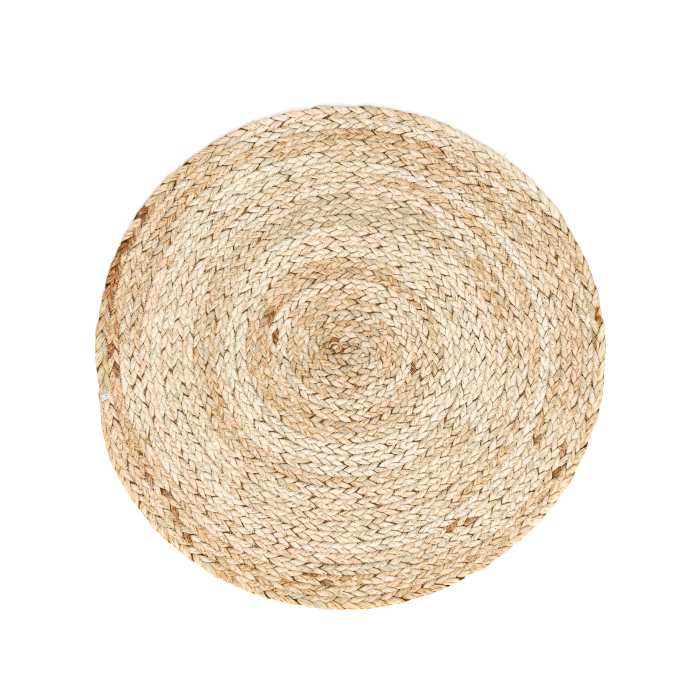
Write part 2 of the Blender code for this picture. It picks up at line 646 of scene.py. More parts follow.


# Batches of husk, from the core outward. The dark runs at the core are darker husk and also painted shade
# of the core's deep gaps.
HUSK_RUNS = (
    HuskRun(-1.00, Husk.OLIVE),
    HuskRun(-0.60, Husk.GREY),
    HuskRun(-0.20, Husk.OLIVE),
    HuskRun(0.06, Husk.BROWN),
    HuskRun(0.24, Husk.GREY),
    HuskRun(0.59, Husk.CREAM),
    HuskRun(0.68, Husk.TAN),
    HuskRun(1.85, Husk.GREY),
    HuskRun(2.32, Husk.CREAM),
    HuskRun(2.38, Husk.TAN),
    HuskRun(2.66, Husk.CREAM),
    HuskRun(2.73, Husk.TAN),
    HuskRun(3.37, Husk.CREAM),
    HuskRun(4.12, Husk.TAN),
    HuskRun(4.33, Husk.CREAM),
    HuskRun(4.54, Husk.TAN),
    HuskRun(4.72, Husk.PINK),
    HuskRun(4.80, Husk.HONEY),
    HuskRun(5.05, Husk.PINK),
    HuskRun(5.34, Husk.CREAM),
    HuskRun(5.48, Husk.TAN),
    HuskRun(6.00, Husk.BROWN),
    HuskRun(6.08, Husk.RUST),
    HuskRun(6.13, Husk.HONEY),
    HuskRun(6.27, Husk.TAN),
    HuskRun(6.57, Husk.STRAW),
    HuskRun(6.80, Husk.TAN),
    HuskRun(7.14, Husk.TAN),
    HuskRun(7.36, Husk.WHITE),
    HuskRun(8.16, Husk.CREAM),
    HuskRun(8.35, Husk.STRAW),
    HuskRun(8.48, Husk.WHITE),
    HuskRun(9.19, Husk.PINK),
    HuskRun(9.33, Husk.CREAM),
    HuskRun(9.61, Husk.TAN),
    HuskRun(9.67, Husk.WHITE),
    HuskRun(9.82, Husk.STRAW),
    HuskRun(10.12, Husk.WHITE),
    HuskRun(10.25, Husk.STRAW),
    HuskRun(10.40, Husk.WHITE),
    HuskRun(10.62, Husk.TAN),
    HuskRun(11.00, Husk.GREY),
    HuskRun(11.17, Husk.GREY),
    HuskRun(11.39, Husk.PINK),
    HuskRun(11.61, Husk.HONEY),
    HuskRun(11.65, Husk.PINK),
    HuskRun(11.83, Husk.TAN),
    HuskRun(12.08, Husk.HONEY),
    HuskRun(12.18, Husk.GREY),
    HuskRun(12.42, Husk.TAN),
    HuskRun(12.50, Husk.CREAM),
    HuskRun(12.62, Husk.STRAW),
    HuskRun(13.22, Husk.GREY),
    HuskRun(13.37, Husk.WHITE),
    HuskRun(13.42, Husk.HONEY),
    HuskRun(13.53, Husk.STRAW),
    HuskRun(14.04, Husk.PINK),
    HuskRun(14.12, Husk.CREAM),
    HuskRun(14.28, Husk.PINK),
    HuskRun(14.39, Husk.STRAW),
    HuskRun(14.90, Husk.CREAM),
    HuskRun(15.10, Husk.STRAW),
    HuskRun(15.30, Husk.TAN),
    HuskRun(15.37, Husk.HONEY),
    HuskRun(15.55, Husk.STRAW),
    HuskRun(15.61, Husk.HONEY),
    HuskRun(15.69, Husk.CREAM),
    HuskRun(15.86, Husk.WHITE),
    HuskRun(16.14, Husk.CREAM),
    HuskRun(16.38, Husk.WHITE),
    HuskRun(16.78, Husk.PINK),
    HuskRun(17.13, Husk.WHITE),
    HuskRun(17.26, Husk.TAN),
    HuskRun(17.33, Husk.HONEY),
    HuskRun(17.42, Husk.STRAW),
    HuskRun(17.51, Husk.HONEY),
    HuskRun(17.61, Husk.STRAW),
    HuskRun(17.69, Husk.MAUVE),
    HuskRun(17.92, Husk.CREAM),
    HuskRun(18.03, Husk.OLIVE),
    HuskRun(18.12, Husk.GREY),
    HuskRun(18.14, Husk.CREAM),
    HuskRun(18.22, Husk.TAN),
    HuskRun(18.42, Husk.HONEY),
    HuskRun(18.50, Husk.TAN),
    HuskRun(18.57, Husk.CREAM),
    HuskRun(18.62, Husk.PINK),
    HuskRun(18.71, Husk.GREY),
    HuskRun(18.81, Husk.PINK),
    HuskRun(18.90, Husk.TAN),
    HuskRun(18.97, Husk.CREAM),
    HuskRun(19.03, Husk.TAN),
    HuskRun(19.12, Husk.BROWN),
    HuskRun(19.17, Husk.HONEY),
    HuskRun(19.26, Husk.BROWN),
    HuskRun(19.35, Husk.STRAW),
    HuskRun(19.43, Husk.HONEY),
    HuskRun(19.57, Husk.CREAM),
    HuskRun(19.69, Husk.HONEY),
    HuskRun(19.93, Husk.BROWN),
    HuskRun(20.06, Husk.HONEY),
    HuskRun(20.18, Husk.CREAM),
    HuskRun(20.35, Husk.HONEY),
    HuskRun(20.45, Husk.STRAW),
    HuskRun(20.61, Husk.HONEY),
    HuskRun(20.91, Husk.MAUVE),
    HuskRun(21.00, Husk.OLIVE),
    HuskRun(21.06, Husk.RUST),
    HuskRun(21.13, Husk.TAN),
    HuskRun(21.20, Husk.PINK),
    HuskRun(21.26, Husk.GREY),
    HuskRun(21.34, Husk.CREAM),
    HuskRun(21.43, Husk.TAN),
    HuskRun(21.52, Husk.HONEY),
    HuskRun(21.66, Husk.BROWN),
    HuskRun(21.87, Husk.HONEY),
)

# Odd strips among them
HUSK_ACCENTS = (
    HuskAccent(-0.98, 1, 6.0, Husk.RUST),
    HuskAccent(0.08, 0, 9.0, Husk.RUST),
    HuskAccent(0.12, 2, 9.0, Husk.RUST),
    HuskAccent(2.45, 1, 8.0, Husk.RUST),
    HuskAccent(4.55, 1, 14.0, Husk.RUST),
    HuskAccent(5.02, 2, 18.0, Husk.RUST),
    HuskAccent(7.31, 1, 12.0, Husk.HONEY),
    HuskAccent(15.38, 0, 13.0, Husk.RUST),
    HuskAccent(17.10, 1, 16.0, Husk.BROWN),
    HuskAccent(17.58, 2, 26.0, Husk.RUST),
    HuskAccent(17.67, 0, 30.0, Husk.RUST),
    HuskAccent(19.28, 0, 40.0, Husk.BROWN),
    HuskAccent(19.77, 2, 34.0, Husk.RUST),
    HuskAccent(19.90, 1, 40.0, Husk.RUST),
    HuskAccent(20.01, 0, 50.0, Husk.RUST),
    HuskAccent(20.59, 2, 34.0, Husk.RUST),
    HuskAccent(20.88, 1, 30.0, Husk.RUST),
    HuskAccent(21.09, 2, 20.0, Husk.HONEY),
    HuskAccent(21.11, 1, 18.0, Husk.HONEY),
    HuskAccent(21.50, 2, 22.0, Husk.RUST),
)


@dataclass
class Plait:
    """The three-strand plait: flat strands that fold over at the edges and cross in the middle.

    Each strand lies over the others on its way in from an edge, until just past the middle, and under
    them on its way out.
    """

    coil: Coil
    finish: HuskFinish
    period: float = 31.5 * MM        # length over which each strand returns to its place
    core_period: float = 25.5 * MM   # the plait is drawn tighter around the core
    easing_turns: float = 14.0
    rim_period: float = 35.0 * MM
    reach: float = 3.74 * MM         # from the centreline to the fold at each edge
    rim_reach: float = 4.75 * MM
    lift: float = 1.35 * MM          # how far a strand's middle rises and falls
    strand_thickness: float = 2.0 * MM
    lowest: float = 0.36 * MM        # the underside is pressed flat at this height
    slow_length: Waver = Waver(0.10, 130.0 * MM)
    quick_length: Waver = Waver(0.10, 24.0 * MM)
    row_shift: Waver = Waver(0.42 * MM, 40.0 * MM)
    row_lift: Waver = Waver(0.10 * MM, 30.0 * MM)
    station_spacing: float = 1.6 * MM
    around: int = 12
    inner_share: float = 0.6         # share of each strand's run that is in its inner piece
    splice_mm: tuple[float, float] = (90.0, 240.0)
    strip_tone: float = 0.035        # how much the strips of a batch differ
    strip_blush: float = 0.22
    tone_held: float = 0.2           # share of its first batch's tone that a strip keeps
    blush_held: float = 0.3
    blush_strength: float = 0.8
    seed: int = 11
    material: bpy.types.Material | None = None
    pieces: list[bpy.types.Object] = field(default_factory=list)

    def build(self) -> None:
        """Build the three strands, each as an inner and an outer piece."""
        route = self.coil.route()
        along = np.linspace(0.0, route.length, int(route.length / self.station_spacing))
        rng = np.random.default_rng(self.seed)
        self.material = self.finish.material()
        turn = route.turn_at(along)
        freedom = self.coil.rim_freedom(turn)
        easing = smooth_step(turn / self.easing_turns)
        length = self.core_period + (self.period - self.core_period) * easing
        length += (self.rim_period - self.period) * freedom
        length *= 1.0 + self.slow_length.draw(along, rng) + self.quick_length.draw(along, rng)
        swing = 2.0 * math.pi * np.cumsum(np.diff(along, prepend=0.0) / length)
        row_shift = self.row_shift.draw(along, rng)
        row_lift = self.row_lift.draw(along, rng)
        for number in range(3):
            strand = Strand(self, route, number, along, length, swing, row_shift, row_lift)
            corners, values = strand.surface(rng)
            tone, blush = self.husk_values(number, turn, along, rng)
            values["tone"] = values["tone"] + tone[:, None]
            values["blush"] = values["blush"] + blush[:, None]
            split = int(self.inner_share * len(along))
            for part, low, high in (("inner", 0, split + 1), ("outer", split, len(along))):
                shape = corners[low:high].reshape(-1, 3)
                own = {name: value[low:high].ravel() for name, value in values.items()}
                faces = tube_faces(high - low, self.around)
                name = f"strand_{number + 1}_{part}"
                self.pieces.append(mesh_piece(name, shape, faces, own, self.material))

    def husk_values(
        self, number: int, turn: np.ndarray, along: np.ndarray, rng: np.random.Generator
    ) -> tuple[np.ndarray, np.ndarray]:
        """Give each station of a strand the tone and blush of its strip of husk.

        Args:
            number: the strand, 0, 1 or 2.
            turn: turn number of each station.
            along: distance of each station along the plait.
            rng: the seeded source of random numbers.

        Returns:
            The tone and the blush at each station.
        """
        starts = np.array([run.turn for run in HUSK_RUNS])
        run = np.clip(np.searchsorted(starts, turn, side="right") - 1, 0, len(HUSK_RUNS) - 1)
        tones = np.array([item.husk.tone for item in HUSK_RUNS])[run]
        blushes = np.array([item.husk.blush for item in HUSK_RUNS])[run]

        # Each strand is spliced from strips, which differ a little within a batch
        run_mm = along / MM
        cuts = np.cumsum(rng.uniform(*self.splice_mm, size=int(run_mm[-1] / self.splice_mm[0]) + 2))
        strip = np.searchsorted(cuts, run_mm)
        strip_tone = rng.normal(0.0, self.strip_tone, len(cuts) + 1)
        strip_blush = rng.normal(0.0, self.strip_blush, len(cuts) + 1)
        middle = np.concatenate([[0.0], cuts])[strip]
        # A strip keeps the batch that it was taken from over its whole length
        held = np.interp(middle, run_mm, np.arange(len(run_mm))).astype(int)
        tone = tones[held] * self.tone_held + tones * (1.0 - self.tone_held) + strip_tone[strip]
        blush = blushes[held] * self.blush_held + blushes * (1.0 - self.blush_held)
        blush = self.blush_strength * blush + strip_blush[strip]
        for accent in HUSK_ACCENTS:
            if accent.strand == number:
                start = np.interp(accent.turn, turn, run_mm)
                inside = (run_mm >= start) & (run_mm < start + accent.length_mm)
                tone[inside] = accent.husk.tone
                blush[inside] = accent.husk.blush
        return np.clip(tone, 0.0, 1.0), np.clip(blush, -1.0, 1.0)


@dataclass
class Strand:
    """One strand of the plait: a flat folded bundle of husk."""

    plait: Plait
    route: Route
    number: int
    along: np.ndarray
    length: np.ndarray
    swing: np.ndarray
    row_shift: np.ndarray
    row_lift: np.ndarray
    fold_sharpness: float = 0.86     # 0 swings like a sine, 1 like a zigzag
    dive_delay: float = 0.13         # radians past the middle that a strand stays on top
    middle_lead: float = 0.42        # radians by which the front side dives first in the middle
    shingle: float = 0.25 * MM       # how far the rear side stands above the one behind it
    fill: float = 1.16               # width along the row, as a share of the room for it
    pinch: float = 0.32              # share by which it narrows where it folds and crosses
    lobe_tone: float = 0.045         # how much the tone changes from one lobe to the next
    lobe_blush: float = 0.28
    lobe_width: float = 0.19
    fold_reach: float = 0.09         # how much the folds at the edges differ in reach
    phase_waver: Waver = Waver(0.28, 18.0 * MM)
    reach_waver: Waver = Waver(0.11, 9.0 * MM)
    lift_waver: Waver = Waver(0.14, 10.0 * MM)
    edge_waver: Waver = Waver(0.12, 6.0 * MM)
    pinch_waver: Waver = Waver(0.16, 6.0 * MM)
    skin_waver: Waver = Waver(0.16, 4.0 * MM)
    thickness_waver: Waver = Waver(0.10, 8.0 * MM)
    tone_waver: Waver = Waver(0.06, 8.0 * MM)
    crowding: float = 0.62           # radians by which a section's points crowd to the face that shows
    facing_sharpness: float = 2.5    # how quickly they change over to the other face at the middle
    side_power: float = 0.75         # both powers square up the round section, 1 leaves it round
    crown_power: float = 0.60
    grooves: int = 2
    groove_place: Waver = Waver(0.80, 14.0 * MM)
    groove_strength: float = 0.30
    groove_waver: Waver = Waver(0.80, 10.0 * MM)
    groove_tone: Waver = Waver(0.07, 20.0 * MM)
    groove_width: float = 0.11       # a groove's widths are shares of the strand's half width
    groove_edge: float = 0.08
    groove_sink: float = 0.28
    # Brown shade painted into the strands' colour: in the grooves, between strands, on hidden faces and
    # where they dive
    groove_shade: float = 0.40
    side_shade: float = 1.05         # how dark the painted shade is where the sides of two strands meet
    side_strength: float = 0.85
    side_waver: Waver = Waver(0.60, 5.0 * MM)
    side_sharpness: float = 12.0     # the higher, the narrower the painted shade between two strands
    dive_shade: float = 0.62
    hidden_shade: float = 1.6        # how fast the face turned away darkens with painted shade
    hidden_from: float = 0.3
    core_shade_turns: float = 5.0    # turns over which the core's wider painted shade fades
    core_spread: float = 4.0
    core_strength: float = 0.5
    grain_width_mm: float = 2.4      # half width of the leaf that the ribs are drawn on
    grain_step_mm: float = 37.0      # keeps the three strands' ribs apart

    def surface(self, rng: np.random.Generator) -> tuple[np.ndarray, dict[str, np.ndarray]]:
        """Work out the strand's surface.

        Args:
            rng: the seeded source of random numbers.

        Returns:
            The vertices, by station and place around, and their named values.
        """
        plait = self.plait
        along = self.along
        turn = self.route.turn_at(along)
        freedom = plait.coil.rim_freedom(turn)
        narrow = plait.coil.narrowing(turn)
        phase = self.swing + 2.0 * math.pi * self.number / 3.0 + self.phase_waver.draw(along, rng)
        side = np.sin(phase)
        lobe_tone, lobe_blush, lobe_width, fold_reach = self.lobes(phase, rng)

        # The strand's centreline swings across the row, and rises and falls
        swing = np.arcsin(self.fold_sharpness * side) / math.asin(self.fold_sharpness)
        reach = plait.reach + np.where(side > 0.0, (plait.rim_reach - plait.reach) * freedom, 0.0)
        across = reach * narrow * swing * fold_reach * (1.0 + self.reach_waver.draw(along, rng))
        lift = plait.lift * narrow * (1.0 + self.lift_waver.draw(along, rng))
        dive = 2.0 * (phase - self.dive_delay)
        rise = -lift * np.sin(dive)
        slope_across = np.gradient(across)
        slope_rise = np.gradient(rise)
        norm = np.hypot(slope_across, slope_rise)
        facing_across = -slope_rise / norm
        facing_up = slope_across / norm

        # More of a section's points lie on the face that shows
        even = 2.0 * math.pi * np.arange(plait.around) / plait.around
        shows = -np.tanh(self.facing_sharpness * side)
        around = even[None, :] + self.crowding * shows[:, None] * np.cos(even)[None, :]
        reach_along = np.sign(np.cos(around)) * np.abs(np.cos(around)) ** self.side_power
        crown = np.sign(np.sin(around)) * np.abs(np.sin(around)) ** self.crown_power

        rear = 1.0 + self.edge_waver.draw(along, rng)
        front = 1.0 + self.edge_waver.draw(along, rng)
        half_width = 0.5 * self.fill * lobe_width * self.length / 3.0
        edge = np.where(reach_along < 0.0, rear[:, None], front[:, None])
        half_width *= 1.0 - (self.pinch + self.pinch_waver.draw(along, rng)) * np.cos(dive) ** 2
        shift = half_width[:, None] * reach_along * edge

        swell = 1.0 + np.stack([self.skin_waver.draw(along, rng) for _ in even], axis=1)
        groove_depth, leaf_tone = self.creases(reach_along, rng)
        swell = swell - self.groove_sink * groove_depth
        thick = 0.5 * plait.strand_thickness * narrow * (1.0 + self.thickness_waver.draw(along, rng))
        stand = thick[:, None] * crown * swell

        lead = self.middle_lead * np.cos(phase) ** 2
        led_rise = -lift[:, None] * np.sin(dive[:, None] + 2.0 * lead[:, None] * reach_along)
        tilt = self.shingle * reach_along * np.sin(dive)[:, None]
        corners = self.route.place(
            along[:, None] + shift,
            (across + self.row_shift)[:, None] + facing_across[:, None] * stand,
            MAT_MIDDLE + self.row_lift[:, None] + led_rise + tilt + facing_up[:, None] * stand,
        )
        # The mat's own weight presses the lowest husk flat, with room left for the thread
        corners[..., 2] = np.maximum(corners[..., 2], plait.lowest)

        away = -shows[:, None] * np.sin(around)
        # The depth value is painted shade, which darkens the husk's colour in its material
        depth = self.painted_shading(turn, dive, away, reach_along, groove_depth, rng)
        spread = np.ones((1, plait.around))
        values = {
            "tone": leaf_tone + (lobe_tone + self.tone_waver.draw(along, rng))[:, None] * spread,
            "blush": lobe_blush[:, None] * spread,
            "depth": depth,
            "grain_across": self.grain_width_mm * reach_along + self.grain_step_mm * self.number,
            "grain_along": (along / MM)[:, None] * spread,
        }
        return corners, values

    def lobes(
        self, phase: np.ndarray, rng: np.random.Generator
    ) -> tuple[np.ndarray, np.ndarray, np.ndarray, np.ndarray]:
        """Draw what differs from lobe to lobe and from fold to fold.

        A lobe is the stretch of a strand that shows between two dives under its neighbours.

        Args:
            phase: the strand's place in its swing at each station, in radians.
            rng: the seeded source of random numbers.

        Returns:
            Each station's tone and blush, its width as a share of the usual one, and the reach of
            its fold as a share of the usual one.
        """
        lobe = np.floor((phase - 0.25 * math.pi) / math.pi).astype(int)
        lobe -= lobe.min()
        lobes = lobe.max() + 1
        tone = rng.normal(0.0, self.lobe_tone, lobes)[lobe]
        blush = rng.normal(0.0, self.lobe_blush, lobes)[lobe]
        width = rng.uniform(1.0 - self.lobe_width, 1.0 + self.lobe_width, lobes)[lobe]
        fold = np.floor(phase / math.pi).astype(int)
        fold -= fold.min()
        reach = rng.uniform(1.0 - self.fold_reach, 1.0 + self.fold_reach, fold.max() + 1)[fold]
        return tone, blush, width, reach

    def creases(
        self, reach_along: np.ndarray, rng: np.random.Generator
    ) -> tuple[np.ndarray, np.ndarray]:
        """Draw the grooves that run along the strand, between the leaves of its bundle.

        Args:
            reach_along: place across the bundle's width, from -1 to 1, by station and place around.
            rng: the seeded source of random numbers.

        Returns:
            The grooves' depth and the leaves' change of tone, by station and place around.
        """
        depth = np.zeros_like(reach_along)
        tone = np.zeros_like(reach_along)
        for _ in range(self.grooves):
            place = self.groove_place.draw(self.along, rng)
            strength = self.groove_strength + self.groove_waver.draw(self.along, rng)
            strength = np.clip(strength, 0.0, 1.0)
            gap = reach_along - place[:, None]
            depth += strength[:, None] * np.exp(-((gap / self.groove_width) ** 2))
            change = strength * self.groove_tone.draw(self.along, rng)
            tone += change[:, None] * np.tanh(gap / self.groove_edge)
        return depth, tone

    def painted_shading(
        self,
        turn: np.ndarray,
        dive: np.ndarray,
        away: np.ndarray,
        reach_along: np.ndarray,
        groove_depth: np.ndarray,
        rng: np.random.Generator,
    ) -> np.ndarray:
        """Work out how much brown shade is painted on the strand.

        Args:
            turn: turn number of each station.
            dive: the strand's place in its rise and fall at each station, in radians.
            away: from 1 on the face turned away inside the mat to -1 on the face that shows.
            reach_along: place across the bundle's width, from -1 to 1.
            groove_depth: depth of the grooves.
            rng: the seeded source of random numbers.

        Returns:
            The painted shade, from 0 for none to 1, by station and place around.
        """
        # Shade is painted in the grooves and where the sides of two strands meet
        core = np.exp(-(turn + self.plait.coil.core_turns) / self.core_shade_turns)
        softness = (self.side_sharpness - self.core_spread * core)[:, None]
        strength = np.clip(self.side_strength + self.side_waver.draw(self.along, rng), 0.0, 1.0)
        strength *= 1.0 + self.core_strength * core
        sides = np.abs(reach_along) ** softness * strength[:, None]
        # Brown shade is painted on the face turned away inside the mat
        hidden = np.clip(self.hidden_shade * away - self.hidden_from, 0.0, 1.0)
        # And on each strand where it dives under its neighbours
        under = self.dive_shade * np.clip(np.sin(dive), 0.0, 1.0)[:, None] ** 3
        depth = self.groove_shade * groove_depth + self.side_shade * sides + hidden + under
        return np.clip(depth, 0.0, 1.0)


# ---------------------------------------------------------------------------------------------
# The ground, the sewing and the loose fibres
# ---------------------------------------------------------------------------------------------


@dataclass
class Ground:
    """The husk deep inside the mat: a thin sheet of painted shade between the strands, seen only through
    gaps.
    """

    coil: Coil
    finish: PlainFinish
    thickness: float = 0.2 * MM
    ring_step: float = 24.0 * MM
    spokes: int = 96
    piece: bpy.types.Object | None = None

    def build(self) -> None:
        """Build the sheet as one closed mesh."""
        turn = np.linspace(self.coil.turns - 1.0, self.coil.turns, self.spokes, endpoint=False)
        edge = self.coil.line(turn)
        rings = int(np.linalg.norm(edge, axis=1).mean() / self.ring_step)
        shares = np.linspace(1.0 / rings, 1.0, rings)
        layers = []
        for sign in (1.0, -1.0):
            height = MAT_MIDDLE + sign * 0.5 * self.thickness
            flat = (shares[:, None, None] * edge[None, :, :]).reshape(-1, 2)
            layers.append(np.column_stack([flat, np.full(len(flat), height)]))
            layers.append(np.array([[0.0, 0.0, height]]))
        corners = np.concatenate(layers)
        per_layer = rings * self.spokes + 1
        spoke = np.arange(self.spokes)
        after = (spoke + 1) % self.spokes
        inner = np.arange(rings - 1)[:, None] * self.spokes
        outer = inner + self.spokes
        quads = np.stack([inner + spoke, inner + after, outer + after, outer + spoke], axis=-1)
        quads = quads.reshape(-1, 4)
        centre = np.full(self.spokes, per_layer - 1)
        fan = np.stack([centre, after, spoke], axis=-1)
        top_rim = (rings - 1) * self.spokes
        low_rim = per_layer + top_rim
        wall = np.stack([top_rim + spoke, top_rim + after, low_rim + after, low_rim + spoke], axis=-1)
        faces = [quads, fan, quads[:, ::-1] + per_layer, fan[:, ::-1] + per_layer, wall]
        self.piece = mesh_piece("husk_ground", corners, faces, {}, self.finish.material())


@dataclass
class Sewing:
    """The thread: a zigzag over every seam, and the same on the underside."""

    coil: Coil
    finish: PlainFinish
    step: float = 1.9 * MM           # along the seam, from one needle hole to the next
    reach: float = 1.8 * MM          # to each side of the seam
    reach_spread: float = 0.35 * MM
    first_turn: float = -0.6         # the core's first rows are held by the next ones
    thickness: float = 0.26 * MM
    sink: float = 0.3 * MM           # how far the thread dips at a needle hole
    around: int = 3
    hole: float = 0.52 * MM          # half size of the dark crease at a needle hole
    hole_sizes: tuple[float, float] = (0.6, 1.25)
    hole_stretch: tuple[float, float] = (1.9, 0.5)   # the thread pulls it out along the plait
    hole_turn: float = 0.7           # radians by which the creases turn to either side
    hole_peak: float = 0.30 * MM     # how far a crease stands above the husk
    hole_foot: float = 0.10 * MM     # and how deep its foot lies in it
    shaded_hole_share: float = 0.22      # share of the needle holes that show a crease
    # The creases' dark brown is painted shade of the needle holes
    hole_shade_finish: PlainFinish = PlainFinish("painted_hole_shade", "#7A4614", "#5A300A", 0.9, 1.0)
    seed: int = 5
    pieces: list[bpy.types.Object] = field(default_factory=list)

    def build(self, tree: BVHTree) -> None:
        """Lay the thread on the plait's surface, above and below.

        Args:
            tree: the faces of the plait that the thread lies on.
        """
        rng = np.random.default_rng(self.seed)
        route = self.coil.route()
        first, last = route.along_at(np.array([self.first_turn, self.coil.turns - 1.0]))
        seam = np.arange(first, last, self.step)
        holes = len(seam)
        side = np.where(np.arange(holes) % 2 == 0, 1.0, -1.0) * self.reach
        side += self.reach_spread * rng.uniform(-1.0, 1.0, holes)
        plan = route.place(seam, 0.5 * self.coil.pitch + side, np.zeros(holes))[:, :2]
        material = self.finish.material()
        top = ("thread_top", 1.0, np.array([0.0, 0.12, 0.5, 0.88, 1.0]))
        under = ("thread_under", -1.0, np.array([0.0, 0.5, 1.0]))
        for name, sign, share in (top, under):
            blend = share[None, :, None]
            path = plan[:-1, None, :] * (1.0 - blend) + plan[1:, None, :] * blend
            height = np.empty(path.shape[:2])
            for row in range(height.shape[0]):
                for column in range(len(share)):
                    height[row, column] = surface_height(tree, path[row, column], sign)
            # A taut thread bridges the hollows that it crosses
            for column in range(1, len(share) - 1):
                bridge = 0.5 * (height[:, column - 1] + height[:, column + 1])
                height[:, column] = sign * np.maximum(sign * height[:, column], sign * bridge)
            height += sign * 0.5 * self.thickness
            height[:, 0] -= sign * self.sink
            height[:, -1] -= sign * self.sink
            self.pieces.append(self.crossings(name, path, height, material))
            if sign > 0.0:
                self.pieces.append(self.holes(path, tree))

    def holes(self, path: np.ndarray, tree: BVHTree) -> bpy.types.Object:
        """Mark some of the needle holes, each with a short dark crease of painted shade.

        Args:
            path: plan points of the crossings, by crossing and step.
            tree: the plait's faces.

        Returns:
            All the marks as one object.
        """
        rng = np.random.default_rng(self.seed + 1)
        place = path[rng.uniform(0.0, 1.0, len(path)) < self.shaded_hole_share, 0]
        count = len(place)
        height = np.array([surface_height(tree, spot, 1.0) for spot in place])
        turn = np.arctan2(place[:, 1], place[:, 0]) + 0.5 * math.pi
        turn += rng.uniform(-self.hole_turn, self.hole_turn, count)
        size = self.hole * rng.uniform(*self.hole_sizes, count)
        corners = np.empty((count, 5, 3))
        for corner in range(4):
            angle = turn + 0.5 * math.pi * corner
            stretch = size * self.hole_stretch[corner % 2]
            corners[:, corner, 0] = place[:, 0] + stretch * np.cos(angle)
            corners[:, corner, 1] = place[:, 1] + stretch * np.sin(angle)
            corners[:, corner, 2] = height - self.hole_foot
        corners[:, 4, :2] = place
        corners[:, 4, 2] = height + self.hole_peak
        first = 5 * np.arange(count)[:, None]
        sides = [first + np.array([[corner, (corner + 1) % 4, 4]]) for corner in range(4)]
        faces = [np.concatenate(sides), first + np.array([[3, 2, 1, 0]])]
        return mesh_piece("needle_holes", corners.reshape(-1, 3), faces, {}, self.hole_shade_finish.material())

    def crossings(
        self, name: str, path: np.ndarray, height: np.ndarray, material: bpy.types.Material
    ) -> bpy.types.Object:
        """Make one short closed tube for each crossing of the seam.

        Args:
            name: the piece's name.
            path: plan points, by crossing and step.
            height: height of each point.
            material: the thread's material.

        Returns:
            All the crossings as one object.
        """
        centre = np.concatenate([path, height[:, :, None]], axis=2)
        radius = np.full(path.shape[:2], 0.5 * self.thickness)
        corners, faces = tubes(centre, radius, radius, self.around)
        return mesh_piece(name, corners, faces, {}, material)


@dataclass(frozen=True)
class Wisp:
    """A loose end of husk: where it starts, which way it heads, and how it bends."""

    start_mm: tuple[float, float, float]
    heading: float      # degrees from +X, seen from above
    length_mm: float
    bend: float         # degrees turned over its length, anticlockwise
    radius_mm: float
    husk: Husk


WISPS = (
    Wisp((-46.0, 181.2, 3.2), 50.0, 4.2, 20.0, 0.34, Husk.GREY),
    Wisp((-73.0, 174.4, 3.0), 80.0, 3.6, 30.0, 0.36, Husk.GREY),
    Wisp((16.4, 186.0, 3.4), 150.0, 4.2, -35.0, 0.36, Husk.GREY),
    Wisp((114.2, 150.8, 3.2), 60.0, 3.6, -20.0, 0.34, Husk.GREY),
    Wisp((-16.2, 8.0, 4.7), 90.0, 14.3, -190.0, 1.0, Husk.BROWN),
    Wisp((-12.8, 7.0, 4.4), 50.0, 4.0, -30.0, 1.9, Husk.PINK),
    Wisp((-8.9, 9.2, 4.7), -60.0, 2.4, 0.0, 0.7, Husk.RUST),
    Wisp((-14.4, 5.2, 4.7), 10.0, 2.8, 20.0, 0.6, Husk.RUST),
    # This rust strip lies along a slit in the core; its dark colour is painted shade of the slit
    Wisp((-6.6, 9.6, 4.6), 0.0, 11.0, -12.0, 0.45, Husk.RUST),
    Wisp((4.8, 8.2, 4.7), -50.0, 2.6, 0.0, 0.7, Husk.RUST),
)


